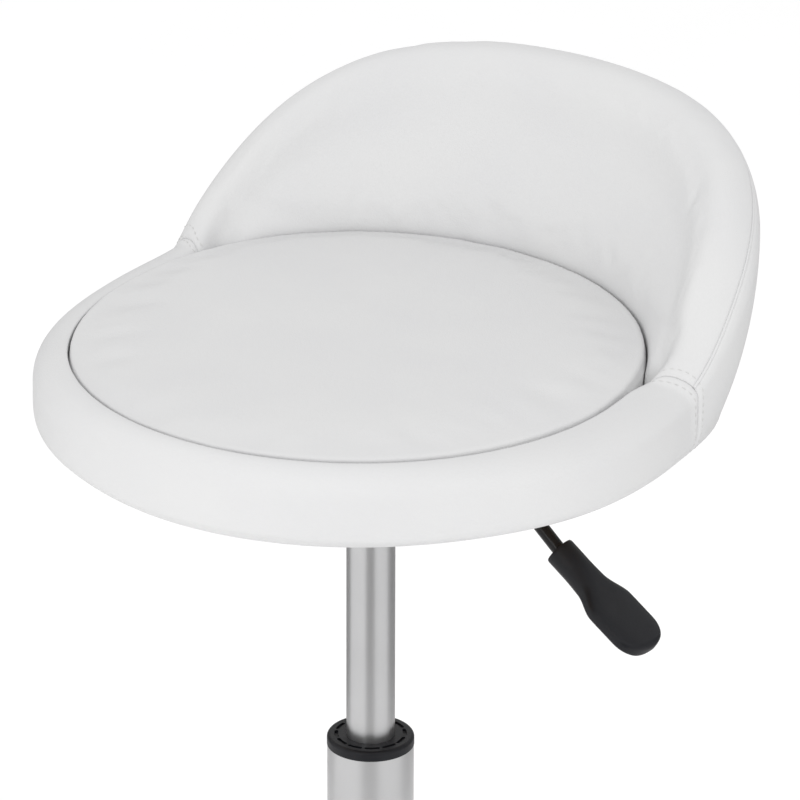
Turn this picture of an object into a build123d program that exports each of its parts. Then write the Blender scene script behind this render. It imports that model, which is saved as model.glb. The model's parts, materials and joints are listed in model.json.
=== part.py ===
from build123d import *
import math
import os

# Rolling stylist stool: padded round seat with a low wrap-around back on a gas lift and a
# five-leg castor base.  Millimetres, +Z up, origin on the floor under the column axis.
# The front of the seat faces -Y.  The gas lift is at its full height.

# ---- driving dimensions ----
FLOOR_TO_BUSH_TOP = 312.0
COLUMN_RADIUS = 25.0
COLUMN_WALL = 2.0
COLUMN_BOTTOM = 84.0
COLUMN_TAPER_HEIGHT = 50.0
COLUMN_TAPER = 1.0
CYLINDER_RADIUS = 14.0
CYLINDER_WALL = 1.5
LIFT_STROKE = 140.0
ROD_RADIUS = 5.0
RUNNING_CLEARANCE = 0.05

SEAT_UNDERSIDE = 517.0
RIM_HEIGHT = 563.0
SEAT_CENTRE_Y = -17.5
WELL_RADIUS = 165.3
PAD_RADIUS = 164.0
PAD_DOME = 8.0
PAD_EDGE_RISE = 2.0
PAD_EDGE_ROUNDING = 4.0
BOARD_RADIUS = 164.8
SEAT_BOARD_THICKNESS = 12.0
PAD_BOARD_THICKNESS = 9.0
COVER_THICKNESS = 1.2
FOAM_INSET = 1.8

BACK_HEIGHT = 100.8
BACK_FLARE = 40.0
BACK_CREST_THICKNESS = 38.5
BACK_BASE_THICKNESS = 45.0
SEAM_RIM_WIDTH = 36.0
FRONT_RIM_WIDTH = 12.5
FRONT_CROWN = 3.0
BACK_HALF_ANGLE = 71.3
SEAM_ANGLE = 69.5
BACK_BOARD_HALF_ANGLE = 52.0
BACK_BOARD_THICKNESS = 9.0
BACK_BOARD_COVERING = 18.0

BASE_RADIUS = 235.0
LEG_COUNT = 5
HUB_RADIUS = 31.0
HUB_HEIGHT = 50.0
WHEEL_RADIUS = 25.0
WHEEL_WIDTH = 15.0
WHEEL_TRAIL = 18.0
CASTOR_HEADINGS = (25.0, 110.0, -70.0, 160.0, -15.0)

LEVER_RADIUS = 4.0
LEVER_PIN_RADIUS = 3.0
LEVER_PIVOT_X = 22.0
LEVER_HEIGHT = 495.9
LEVER_INNER_END = -3.0
LEVER_BEND_X = 96.6
LEVER_SLOPE = 40.0
LEVER_KNEE = 44.5
HANDLE_SLOPE = 33.3
ROD_INTO_HANDLE = 50.0

os.makedirs("parts", exist_ok=True)


def save(node, shape):
    shape.label = node
    export_step(shape, f"parts/{node}.step")


def cylinder_between(radius, z_low, z_high, x=0.0, y=0.0):
    """An upright cylinder from one height to another."""
    return Pos(x, y, (z_low + z_high) / 2) * Cylinder(radius, z_high - z_low)


def tube_between(outer, inner, z_low, z_high, x=0.0, y=0.0):
    return cylinder_between(outer, z_low, z_high, x, y) - cylinder_between(inner, z_low, z_high, x, y)


def revolved(points, centre_y=0.0):
    """A closed outline of (radius, height) points turned about an upright axis."""
    outline = Polyline(*[(r, 0, z) for r, z in points], close=True)
    return Pos(0, centre_y, 0) * revolve(make_face(outline), Axis.Z)


def seat_point(angle, radius, height):
    """A point given by its angle from the back of the seat, its radius and its height."""
    a = math.radians(angle)
    return Vector(radius * math.sin(a), SEAT_CENTRE_Y + radius * math.cos(a), height)


# ---- padded wall around the seat: low rim in front, high back behind ----
INNER_ROUNDING_RUN = 3.2
INNER_ROUNDING_DROP = 3.6
QUARTER_TURN = 0.5523


def smooth_step(value):
    t = min(max(value, 0.0), 1.0)
    return t * t * (3 - 2 * t)


def wall_form(angle):
    """The padded wall's form at an angle: crest height, outward lean of the inner face, width at
    the base, thickness at the crest, run and drop of the inner rounding, drop of the outer
    rounding, and where the upright line of the inner face ends."""
    a = abs(angle)
    rise = (1 - min(a / BACK_HALF_ANGLE, 1.0) ** 3.18) ** 1.29
    upright = math.sqrt(rise)
    toward_seam = smooth_step((180 - a) / (180 - BACK_HALF_ANGLE))
    into_back = smooth_step((BACK_HALF_ANGLE + 5 - a) / 26)
    crown = FRONT_CROWN * (1 - toward_seam)
    crest = crown + (BACK_HEIGHT - crown) * rise
    lean = BACK_FLARE * (crest / BACK_HEIGHT) ** 1.24
    width = FRONT_RIM_WIDTH + (SEAM_RIM_WIDTH - FRONT_RIM_WIDTH) * toward_seam ** 1.9
    width += (BACK_BASE_THICKNESS - SEAM_RIM_WIDTH) * into_back
    thickness = width + (BACK_CREST_THICKNESS - width) * upright
    run_in = INNER_ROUNDING_RUN + (BACK_CREST_THICKNESS / 2 - INNER_ROUNDING_RUN) * upright
    drop_in = INNER_ROUNDING_DROP + 40.0 * upright
    drop_out = 24.0 - 12.0 * toward_seam + 14.0 * rise
    line_end = min(-3.0 - 20.0 * (1 - rise) ** 2, crest - drop_in - 4)
    return crest, lean, width, thickness, run_in, drop_in, drop_out, line_end


def inner_curves(angle, inset):
    """Control points of the section's line over the inner face and the crest, to the widest point."""
    crest, lean, _, thickness, run_in, drop_in, drop_out, line_end = wall_form(angle)
    low = SEAT_UNDERSIDE - RIM_HEIGHT + inset
    inner = WELL_RADIUS + inset
    shoulder = (inner + 0.72 * lean, crest - drop_in)
    top = (WELL_RADIUS + lean + run_in, crest - inset)
    widest = (WELL_RADIUS + lean + thickness - inset, crest - drop_out)
    way_r, way_z = 1.4 * (shoulder[0] - inner), shoulder[1] - line_end
    length = math.hypot(way_r, way_z)
    way_r, way_z = way_r / length, way_z / length
    reach = (shoulder[1] - line_end) / 3
    round_in = (top[1] - shoulder[1]) / 2
    return [
        [(inner, low), (inner, line_end)],
        [(inner, line_end), (inner, line_end + reach),
         (shoulder[0] - way_r * reach, shoulder[1] - way_z * reach), shoulder],
        [shoulder, (shoulder[0] + way_r * round_in, shoulder[1] + way_z * round_in),
         (top[0] - (top[0] - shoulder[0]) * QUARTER_TURN, top[1]), top],
        [top, (top[0] + (widest[0] - top[0]) * QUARTER_TURN, top[1]),
         (widest[0], widest[1] + (top[1] - widest[1]) * QUARTER_TURN), widest],
    ]


def outer_curves(angle, inset):
    """Control points of the section's line from the widest point down the outer face to the foot."""
    crest, lean, width, thickness, _, _, drop_out, _ = wall_form(angle)
    low = SEAT_UNDERSIDE - RIM_HEIGHT + inset
    inner = WELL_RADIUS + inset
    widest = (WELL_RADIUS + lean + thickness - inset, crest - drop_out)
    fullness = smooth_step((width - 20) / (BACK_BASE_THICKNESS - 20))
    width -= 2 * inset
    drop = widest[1] - low
    corner = (inner + (0.80 + 0.14 * fullness) * width, low + 6)
    tuck = (inner + (0.62 + 0.24 * fullness) * width, low + 1.6)
    heel = (inner + 3 + (0.15 + 0.55 * fullness) * width, low)
    return [
        [widest, (widest[0], widest[1] - 0.5 * drop), (inner + 1.06 * width, low + 0.32 * drop), corner],
        [corner, tuck, (heel[0] + 1.5, low), heel],
        [heel, (inner, low)],
    ]


def placed_edges(curves, angle):
    """Edges through control points of (radius, height above the rim) at an angle from the back."""
    edges = []
    for curve in curves:
        points = [seat_point(angle, r, RIM_HEIGHT + z) for r, z in curve]
        edges.append(Edge.make_line(*points) if len(points) == 2 else Edge.make_bezier(*points))
    return edges


def wall(angles, inset):
    """The wall's solid between the first and the last of the angles."""
    sections = [Wire(placed_edges(inner_curves(a, inset) + outer_curves(a, inset), a)) for a in angles]
    return Part(Solid.make_loft(sections).wrapped)


def skin_section(curves, angle):
    """A thin closed outline: one side of the wall at full size and the same side pulled in."""
    outside = placed_edges(curves(angle, 0), angle)
    inside = placed_edges(curves(angle, COVER_THICKNESS), angle)
    start = Edge.make_line(outside[0] @ 0, inside[0] @ 0)
    end = Edge.make_line(outside[-1] @ 1, inside[-1] @ 1)
    return Wire(outside + [end] + inside + [start])


def skin(curves, angles):
    """One panel of cover over the wall, of the cover's thickness."""
    return Part(Solid.make_loft([skin_section(curves, a) for a in angles]).wrapped)


def spaced(first, last, count):
    return [first + (last - first) * i / (count - 1) for i in range(count)]


BACK_ANGLES = spaced(-SEAM_ANGLE, SEAM_ANGLE, 15)
RIM_ANGLES = spaced(SEAM_ANGLE, 180, 10)


def mirrored_pair(half):
    return half + mirror(half, Plane.YZ)


def back_board():
    """A bent board that leans outward, cut to an arch lower than the crest."""
    half = BACK_BOARD_THICKNESS / 2
    middle = [(WELL_RADIUS + 16, -42.5), (WELL_RADIUS + 18, 0), (WELL_RADIUS + 52, 76)]
    outline = [(r - half, z) for r, z in middle] + [(r + half, z) for r, z in reversed(middle)]
    bent = revolved([(r, RIM_HEIGHT + z) for r, z in outline], SEAT_CENTRE_Y)
    limit = BACK_BOARD_HALF_ANGLE
    arch = [seat_point(a, WELL_RADIUS + 40, RIM_HEIGHT + wall_form(a)[0] - BACK_BOARD_COVERING)
            for a in spaced(-limit, limit, 9)]
    arch = [Vector(p.X, 0, p.Z) for p in arch]
    low = SEAT_UNDERSIDE - 10
    foot = [Vector(arch[-1].X, 0, low), Vector(arch[0].X, 0, low)]
    face = make_face([Edge.make_spline(arch), Edge.make_line(arch[-1], foot[0]),
                      Edge.make_line(foot[0], foot[1]), Edge.make_line(foot[1], arch[0])])
    return bent & extrude(face, amount=400, dir=(0, 1, 0))


# ---- screws through the seat and back ----
SCREW_SHANK = 2.0
SCREW_HEAD = 4.0
BRACKET_THICKNESS = 2.5
BRACKET_LENGTH = 64.0
BRACKET_START = 125.0
BRACKET_ANGLES = (-40.0, 0.0, 40.0)
BRACKET_LOW = SEAT_UNDERSIDE - BRACKET_THICKNESS
PAD_SCREW_RADIUS = 120.0


def wood_screw(x, y, head_top, tip):
    head = cylinder_between(SCREW_HEAD, head_top - 2.2, head_top, x, y)
    shank = cylinder_between(SCREW_SHANK, head_top, tip - 3, x, y)
    point = Pos(x, y, tip - 1.5) * Cone(SCREW_SHANK, 0.2, 3)
    return head + shank + point


def wood_screws():
    """Screws through the brackets into both boards, and through the seat board into the pad."""
    screws = []
    back_board_radius = WELL_RADIUS + 16.0
    for angle in BRACKET_ANGLES:
        for radius, tip in ((136.0, 527.0), (150.0, 527.0), (back_board_radius, 545.0)):
            at = seat_point(angle, radius, 0)
            screws.append(wood_screw(at.X, at.Y, BRACKET_LOW, tip))
    for angle in (45, 135, 225, 315):
        at = seat_point(angle, PAD_SCREW_RADIUS, 0)
        screws.append(wood_screw(at.X, at.Y, SEAT_UNDERSIDE, 535.0))
    return screws


def back_bracket(angle):
    """A flat steel strip that ties the back board to the seat board from below."""
    strip = Box(20, BRACKET_LENGTH, BRACKET_THICKNESS)
    strip = fillet(strip.edges().filter_by(Axis.Z), 5)
    middle = BRACKET_START + BRACKET_LENGTH / 2
    strip = Pos(0, middle, BRACKET_LOW + BRACKET_THICKNESS / 2) * strip
    return Pos(0, SEAT_CENTRE_Y, 0) * Rot(0, 0, -angle) * strip


# ---- seat boards and plate ----
PLATE_HALF = 75.0
PLATE_THICKNESS = 2.5
PLATE_BOLT = 60.0
PLATE_LOW = SEAT_UNDERSIDE - PLATE_THICKNESS
CHANNEL_LOW = 481.0
CHANNEL_HALF_WIDTH = 25.0
CHANNEL_BACK = -42.0
CHANNEL_FRONT = 52.0
SOCKET_LOW = 464.0
SOCKET_TOP = 486.0
SOCKET_RADIUS = 19.0
CYLINDER_TOP_RADIUS = 13.3
BOLT_POINTS = [(sx * PLATE_BOLT, sy * PLATE_BOLT) for sx in (-1, 1) for sy in (-1, 1)]
SEAT_BOARD_TOP = SEAT_UNDERSIDE + SEAT_BOARD_THICKNESS
PAD_BOARD_TOP = SEAT_BOARD_TOP + PAD_BOARD_THICKNESS


def mounting_plate():
    plate = Box(2 * PLATE_HALF, 2 * PLATE_HALF, PLATE_THICKNESS)
    plate = Pos(0, 0, PLATE_LOW + PLATE_THICKNESS / 2) * fillet(plate.edges().filter_by(Axis.Z), 12)
    for x, y in BOLT_POINTS:
        plate -= cylinder_between(3.2, PLATE_LOW, SEAT_UNDERSIDE, x, y)
    length = CHANNEL_FRONT - CHANNEL_BACK
    height = PLATE_LOW - CHANNEL_LOW
    middle_x = (CHANNEL_FRONT + CHANNEL_BACK) / 2
    outside = Box(length, 2 * CHANNEL_HALF_WIDTH, height)
    outside = fillet(outside.edges().filter_by(Axis.X).group_by(Axis.Z)[0], 5)
    inside = Pos(0, 0, PLATE_THICKNESS / 2) * Box(length, 2 * (CHANNEL_HALF_WIDTH - PLATE_THICKNESS),
                                                  height - PLATE_THICKNESS)
    channel = Pos(middle_x, 0, CHANNEL_LOW + height / 2) * (outside - inside)
    channel -= cylinder_between(SOCKET_RADIUS, CHANNEL_LOW, CHANNEL_LOW + 5)
    pin_hole = Cylinder(LEVER_PIN_RADIUS, 2 * CHANNEL_HALF_WIDTH)
    pin_hole = Pos(LEVER_PIVOT_X, 0, LEVER_HEIGHT) * Rot(90, 0, 0) * pin_hole
    return plate + channel - pin_hole


def taper_socket():
    outside = cylinder_between(SOCKET_RADIUS, SOCKET_LOW, SOCKET_TOP)
    bore = Pos(0, 0, (SOCKET_LOW + SOCKET_TOP) / 2) * Cone(CYLINDER_RADIUS, CYLINDER_TOP_RADIUS,
                                                         SOCKET_TOP - SOCKET_LOW)
    return outside - bore


def tee_nut(x, y):
    barrel = tube_between(4.2, 3.0, SEAT_BOARD_TOP - 9, SEAT_BOARD_TOP - 1.4, x, y)
    flange = tube_between(9.0, 3.0, SEAT_BOARD_TOP - 1.4, SEAT_BOARD_TOP, x, y)
    return barrel + flange


def plate_bolt(x, y):
    head = extrude(RegularPolygon(5.8, 6), 4)
    head = fillet(head.edges().group_by(Axis.Z)[0], 0.6)
    shank = cylinder_between(3.0, PLATE_LOW, SEAT_BOARD_TOP - 1)
    washer = tube_between(7.0, 3.0, PLATE_LOW - 1.2, PLATE_LOW)
    under_plate = cylinder_between(3.0, PLATE_LOW - 1.2, PLATE_LOW)
    bolt = Pos(0, 0, PLATE_LOW - 5.2) * head + under_plate + shank + washer
    return Pos(x, y, 0) * bolt


def seat_board():
    board = cylinder_between(BOARD_RADIUS, SEAT_UNDERSIDE, SEAT_BOARD_TOP, 0, SEAT_CENTRE_Y)
    for x, y in BOLT_POINTS:
        board -= cylinder_between(4.2, SEAT_UNDERSIDE, SEAT_BOARD_TOP, x, y)
        board -= cylinder_between(9.0, SEAT_BOARD_TOP - 1.4, SEAT_BOARD_TOP, x, y)
    return board


def pad_profile(inset):
    """The seat pad's solid: straight side, rounded edge and a shallow dome."""
    radius = PAD_RADIUS - inset
    low = PAD_BOARD_TOP
    edge_top = RIM_HEIGHT + PAD_EDGE_RISE - inset
    side_top = edge_top - PAD_EDGE_ROUNDING
    top = RIM_HEIGHT + PAD_DOME - inset
    shoulder = radius - PAD_EDGE_ROUNDING
    side_end = (radius, 0, side_top)
    dome_start = (shoulder, 0, edge_top)
    lines = [
        Edge.make_line((0, 0, low), (radius, 0, low)),
        Edge.make_line((radius, 0, low), side_end),
        Edge.make_bezier(side_end, (radius, 0, side_top + 2.2), (shoulder + 1.7, 0, edge_top - 0.6), dome_start),
        Edge.make_bezier(dome_start, (radius - 35, 0, edge_top + 4.6), (radius * 0.45, 0, top), (0, 0, top)),
        Edge.make_line((0, 0, top), (0, 0, low)),
    ]
    return Pos(0, SEAT_CENTRE_Y, 0) * revolve(make_face(Wire(lines)), Axis.Z)


def seat_pad():
    """The pad's board, foam and cover."""
    board = cylinder_between(PAD_RADIUS - 2, SEAT_BOARD_TOP, PAD_BOARD_TOP, 0, SEAT_CENTRE_Y)
    foam = pad_profile(FOAM_INSET)
    inner = PAD_RADIUS - COVER_THICKNESS
    skirt = tube_between(PAD_RADIUS, inner, SEAT_BOARD_TOP, PAD_BOARD_TOP, 0, SEAT_CENTRE_Y)
    cover = pad_profile(0) - pad_profile(COVER_THICKNESS) + skirt
    return board, foam, cover


def cut_with(shape, tools):
    for tool in tools:
        shape -= tool
    return shape


def make_upholstery():
    screws = wood_screws()
    save("wood_screws", Compound(children=screws))
    brackets = [cut_with(back_bracket(a), screws) for a in BRACKET_ANGLES]
    save("back_brackets", Compound(children=brackets))
    board, foam, cover = seat_pad()
    save("pad_board", cut_with(board, screws))
    save("seat_pad_foam", foam)
    save("seat_pad_cover", cover)
    save("seat_board", cut_with(seat_board(), screws))
    save("rim_foam", mirrored_pair(wall(RIM_ANGLES, FOAM_INSET)))
    save("rim_cover", mirrored_pair(wall(RIM_ANGLES, 0) - wall(RIM_ANGLES, COVER_THICKNESS)))
    board = back_board()
    save("back_board", cut_with(board, screws))
    save("back_foam", cut_with(wall(BACK_ANGLES, FOAM_INSET) - board, screws))
    save("back_inner_cover", cut_with(skin(inner_curves, BACK_ANGLES), screws))
    save("back_outer_cover", cut_with(skin(outer_curves, BACK_ANGLES), screws))


def make_seat_plate():
    save("mounting_plate", mounting_plate())
    save("taper_socket", taper_socket())
    save("tee_nuts", Compound(children=[tee_nut(x, y) for x, y in BOLT_POINTS]))
    save("plate_bolts", Compound(children=[plate_bolt(x, y) for x, y in BOLT_POINTS]))


# ---- gas lift ----
BUSH_FLANGE = 6.0
BUSH_LENGTH = 80.0
TUBE_TOP = FLOOR_TO_BUSH_TOP - BUSH_FLANGE
END_PLATE_LOW = 90.0
END_PLATE_TOP = 94.0
RACE_THICKNESS = 2.0
BALL_RADIUS = 2.4
BALL_CIRCLE = 9.5
BALL_COUNT = 10
BALL_GAP = 0.3
UPPER_RACE_LOW = END_PLATE_TOP + RACE_THICKNESS + BALL_GAP + 2 * BALL_RADIUS
ROD_SHOULDER = UPPER_RACE_LOW + RACE_THICKNESS
BUFFER_TOP = ROD_SHOULDER + 12.5
CYLINDER_BOTTOM = BUFFER_TOP + 2.4 + LIFT_STROKE
GLAND_LENGTH = 18.0
PISTON_LOW = CYLINDER_BOTTOM + GLAND_LENGTH + 4.0
PISTON_LENGTH = 11.0
ROD_TAIL_RADIUS = 4.0
VALVE_RADIUS = 4.0
VALVE_LOW = 472.0
BUTTON_TOP = SOCKET_TOP + 5.0


def make_column():
    outside = cylinder_between(COLUMN_RADIUS, COLUMN_BOTTOM + COLUMN_TAPER_HEIGHT, TUBE_TOP)
    outside += Pos(0, 0, COLUMN_BOTTOM + COLUMN_TAPER_HEIGHT / 2) * Cone(
        COLUMN_RADIUS - COLUMN_TAPER, COLUMN_RADIUS, COLUMN_TAPER_HEIGHT)
    bore = COLUMN_RADIUS - COLUMN_WALL
    inside = cylinder_between(bore, COLUMN_BOTTOM + COLUMN_TAPER_HEIGHT, TUBE_TOP)
    inside += Pos(0, 0, COLUMN_BOTTOM + COLUMN_TAPER_HEIGHT / 2) * Cone(
        bore - COLUMN_TAPER, bore, COLUMN_TAPER_HEIGHT)
    save("column_tube", outside - inside)
    save("guide_bush", guide_bush(bore))
    hole = ROD_TAIL_RADIUS + RUNNING_CLEARANCE
    save("column_end_plate", tube_between(bore - COLUMN_TAPER, hole, END_PLATE_LOW, END_PLATE_TOP))
    race_inner = ROD_TAIL_RADIUS + 0.6
    save("bearing_lower_race", tube_between(14.0, race_inner, END_PLATE_TOP, END_PLATE_TOP + RACE_THICKNESS))


def guide_bush(bore):
    cap = cylinder_between(COLUMN_RADIUS + 0.2, TUBE_TOP, FLOOR_TO_BUSH_TOP)
    cap = fillet(cap.edges().group_by(Axis.Z)[-1], 2.0)
    bush = cap + cylinder_between(bore, FLOOR_TO_BUSH_TOP - BUSH_LENGTH, TUBE_TOP)
    slot = SlotArc(CenterArc((0, 0), 19.8, 0, 20), 2.2)
    for turn in range(12):
        bush -= Pos(0, 0, FLOOR_TO_BUSH_TOP - 1.2) * Rot(0, 0, 30 * turn) * extrude(slot, 1.2)
    bush -= cylinder_between(CYLINDER_RADIUS + RUNNING_CLEARANCE, FLOOR_TO_BUSH_TOP - BUSH_LENGTH,
                             FLOOR_TO_BUSH_TOP)
    return bush


def make_rod():
    rod = cylinder_between(ROD_RADIUS, ROD_SHOULDER, PISTON_LOW)
    tail = cylinder_between(ROD_TAIL_RADIUS, COLUMN_BOTTOM + 1, ROD_SHOULDER)
    neck = cylinder_between(ROD_TAIL_RADIUS - 1, PISTON_LOW, PISTON_LOW + PISTON_LENGTH)
    groove = tube_between(ROD_TAIL_RADIUS, ROD_TAIL_RADIUS - 1, COLUMN_BOTTOM + 3, COLUMN_BOTTOM + 4.2)
    save("piston_rod", rod + tail + neck - groove)
    clip = tube_between(7.5, ROD_TAIL_RADIUS - 1, COLUMN_BOTTOM + 3, COLUMN_BOTTOM + 4.2)
    save("retaining_clip", clip - Pos(5, 0, COLUMN_BOTTOM + 3.6) * Box(10, 3, 4))
    piston_radius = CYLINDER_RADIUS - CYLINDER_WALL - RUNNING_CLEARANCE
    piston = tube_between(piston_radius, ROD_TAIL_RADIUS - 1, PISTON_LOW, PISTON_LOW + PISTON_LENGTH)
    save("piston", piston)
    ball = Pos(BALL_CIRCLE, 0, UPPER_RACE_LOW - BALL_RADIUS) * Sphere(BALL_RADIUS)
    balls = [Rot(0, 0, 360 / BALL_COUNT * i) * ball for i in range(BALL_COUNT)]
    save("bearing_balls", Compound(children=balls))
    save("bearing_upper_race", tube_between(14.0, ROD_TAIL_RADIUS, UPPER_RACE_LOW, ROD_SHOULDER))
    buffer = tube_between(14.0, ROD_RADIUS + 0.2, ROD_SHOULDER, BUFFER_TOP)
    save("rubber_buffer", fillet(buffer.edges().group_by(Axis.Z)[-1], 2))


def make_cylinder():
    body = cylinder_between(CYLINDER_RADIUS, CYLINDER_BOTTOM, SOCKET_LOW)
    body += Pos(0, 0, (SOCKET_LOW + SOCKET_TOP) / 2) * Cone(CYLINDER_RADIUS, CYLINDER_TOP_RADIUS,
                                                          SOCKET_TOP - SOCKET_LOW)
    body -= cylinder_between(CYLINDER_RADIUS - CYLINDER_WALL, CYLINDER_BOTTOM, SOCKET_LOW)
    body -= cylinder_between(VALVE_RADIUS + RUNNING_CLEARANCE, SOCKET_LOW, SOCKET_TOP)
    save("gas_cylinder", body)
    gland = tube_between(CYLINDER_RADIUS - CYLINDER_WALL, ROD_RADIUS + RUNNING_CLEARANCE,
                         CYLINDER_BOTTOM, CYLINDER_BOTTOM + GLAND_LENGTH)
    save("cylinder_gland", gland)
    button = cylinder_between(VALVE_RADIUS, VALVE_LOW, BUTTON_TOP)
    save("release_button", fillet(button.edges().group_by(Axis.Z)[-1], 1))


# ---- release lever ----
# Distance along the handle, half width and half depth of its section there.
HANDLE_SECTIONS = (
    (0, 8.2, 8.2), (14, 8.6, 8.0), (30, 11.6, 6.2), (44, 16.4, 5.0),
    (62, 17.0, 4.8), (71, 14.0, 4.4), (77, 7.8, 3.4), (79, 1.8, 1.2),
)


def lever_path():
    """The lever's bend, its knee at the handle's collar, and the rod's end inside the handle."""
    slope = math.radians(LEVER_SLOPE)
    turn = math.radians(HANDLE_SLOPE)
    bend = Vector(LEVER_BEND_X, 0, LEVER_HEIGHT)
    knee = bend + Vector(math.cos(slope), 0, -math.sin(slope)) * LEVER_KNEE
    end = knee + Vector(math.cos(turn), 0, -math.sin(turn)) * ROD_INTO_HANDLE
    return bend, knee, end


def make_lever():
    bend, knee, end = lever_path()
    path = FilletPolyline((LEVER_INNER_END, 0, LEVER_HEIGHT), bend, knee, end, radius=[18, 30])
    section = Plane(origin=(LEVER_INNER_END, 0, LEVER_HEIGHT), z_dir=(1, 0, 0)) * Circle(LEVER_RADIUS)
    rod = sweep(section, path=path)
    eye = Pos(LEVER_PIVOT_X, 0, LEVER_HEIGHT) * Rot(90, 0, 0)
    rod += eye * Cylinder(6, 20)
    rod -= eye * Cylinder(LEVER_PIN_RADIUS + RUNNING_CLEARANCE, 20)
    save("lever_rod", rod)
    save("lever_pivot_pin", eye * Cylinder(LEVER_PIN_RADIUS, 2 * CHANNEL_HALF_WIDTH + 4))
    along = (end - knee).normalized()
    local = Plane(origin=knee, x_dir=(0, 1, 0), z_dir=along)
    sections = [local * Pos(0, 0, distance) * Ellipse(half_width, half_depth)
                for distance, half_width, half_depth in HANDLE_SECTIONS]
    grip = loft(sections)
    save("lever_handle", grip - rod)


# ---- base ----
SOCKET_BOTTOM = 61.0
SOCKET_RING = 8.5
STEM_RADIUS = 5.0
AXLE_RADIUS = 3.0
AXLE_LENGTH = 46.0
CASTOR_WEB_HALF = 8.0
WHEEL_GAP = 0.6
# Distance from the column axis, low and high edge and half width of a leg's section there.
LEG_OUTSIDE = ((20, 90, 124, 15), (130, 78, 106, 13), (248, 64, 86, 12))
LEG_HOLLOW = ((10, 60, 121.8, 12.8), (130, 50, 103.8, 10.8), (220, 44, 86.2, 10))


def leg_section(distance, low, high, half_width):
    plane = Plane(origin=(distance, 0, (low + high) / 2), x_dir=(0, 1, 0), z_dir=(1, 0, 0))
    height = high - low
    return plane * RectangleRounded(2 * half_width, height, min(half_width, height / 2) * 0.55)


def leg(turn):
    outer = loft([leg_section(*section) for section in LEG_OUTSIDE])
    hollow = loft([leg_section(*section) for section in LEG_HOLLOW])
    shape = outer - hollow - cylinder_between(HUB_RADIUS, 50, 150)
    end_cut = Pos(BASE_RADIUS + 30, 0, 75) * Box(60, 60, 60) - cylinder_between(12, 40, 110, BASE_RADIUS)
    shape -= end_cut
    shape -= cylinder_between(SOCKET_RING, 40, 110, BASE_RADIUS)
    return Rot(0, 0, turn) * shape


def make_base():
    hub = cylinder_between(HUB_RADIUS, COLUMN_BOTTOM, COLUMN_BOTTOM + HUB_HEIGHT)
    hub = fillet(hub.edges(), 2)
    taper = Cone(COLUMN_RADIUS - COLUMN_TAPER, COLUMN_RADIUS, HUB_HEIGHT)
    hub -= Pos(0, 0, COLUMN_BOTTOM + HUB_HEIGHT / 2) * taper
    save("base_hub", hub)
    sockets = []
    stems = []
    for number in range(LEG_COUNT):
        turn = -90 + 360 / LEG_COUNT * number
        save(f"base_leg_{number + 1}", leg(turn))
        socket = tube_between(SOCKET_RING, STEM_RADIUS, SOCKET_BOTTOM, 86, BASE_RADIUS)
        sockets.append(Rot(0, 0, turn) * socket)
        stem = cylinder_between(STEM_RADIUS, 36, 84, BASE_RADIUS)
        collar = cylinder_between(8.0, 59, SOCKET_BOTTOM, BASE_RADIUS)
        stems.append(Rot(0, 0, turn) * (stem + collar))
        make_castor(number + 1, turn)
    save("castor_sockets", Compound(children=sockets))
    save("castor_stems", Compound(children=stems))


def castor_housing():
    """Hood and web of one castor, stem axis at the origin, wheels trailing along +X."""
    web = Pos(WHEEL_TRAIL, 0, WHEEL_RADIUS) * Rot(90, 0, 0) * Cylinder(22, 2 * CASTOR_WEB_HALF)
    web += cylinder_between(CASTOR_WEB_HALF, 34, 58)
    web += Pos(6, 0, 45) * Box(12, 2 * CASTOR_WEB_HALF, 22)
    across = 2 * (CASTOR_WEB_HALF + WHEEL_GAP + WHEEL_WIDTH)
    centre = Pos(WHEEL_TRAIL, 0, WHEEL_RADIUS) * Rot(90, 0, 0)
    hood = centre * (Cylinder(29, across) - Cylinder(26.5, across))
    hood -= Pos(WHEEL_TRAIL, 0, WHEEL_RADIUS - 25) * Box(80, across, 60)
    shape = web + hood
    shape -= cylinder_between(STEM_RADIUS + RUNNING_CLEARANCE, 35.5, 60)
    shape -= centre * Cylinder(AXLE_RADIUS, across)
    return shape


def castor_wheel(side):
    wheel = Cylinder(WHEEL_RADIUS, WHEEL_WIDTH)
    wheel = fillet(wheel.edges(), 3)
    wheel -= Pos(0, 0, WHEEL_WIDTH / 2 - 1.5) * (Cylinder(19, 3) - Cylinder(7, 3))
    wheel -= Cylinder(AXLE_RADIUS + RUNNING_CLEARANCE, WHEEL_WIDTH)
    offset = CASTOR_WEB_HALF + WHEEL_GAP + WHEEL_WIDTH / 2
    return Pos(WHEEL_TRAIL, side * offset, WHEEL_RADIUS) * Rot(-90 * side, 0, 0) * wheel


def make_castor(number, turn):
    place = Rot(0, 0, turn) * Pos(BASE_RADIUS, 0, 0) * Rot(0, 0, CASTOR_HEADINGS[number - 1])
    save(f"castor_housing_{number}", place * castor_housing())
    axle = Pos(WHEEL_TRAIL, 0, WHEEL_RADIUS) * Rot(90, 0, 0) * Cylinder(AXLE_RADIUS, AXLE_LENGTH)
    save(f"castor_axle_{number}", place * axle)
    save(f"castor_wheel_left_{number}", place * castor_wheel(1))
    save(f"castor_wheel_right_{number}", place * castor_wheel(-1))


make_upholstery()
make_seat_plate()
make_column()
make_rod()
make_cylinder()
make_lever()
make_base()
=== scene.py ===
import json
import math

import bmesh
import bpy
import numpy as np
from mathutils import Matrix, Vector
from mathutils.kdtree import KDTree


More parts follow.
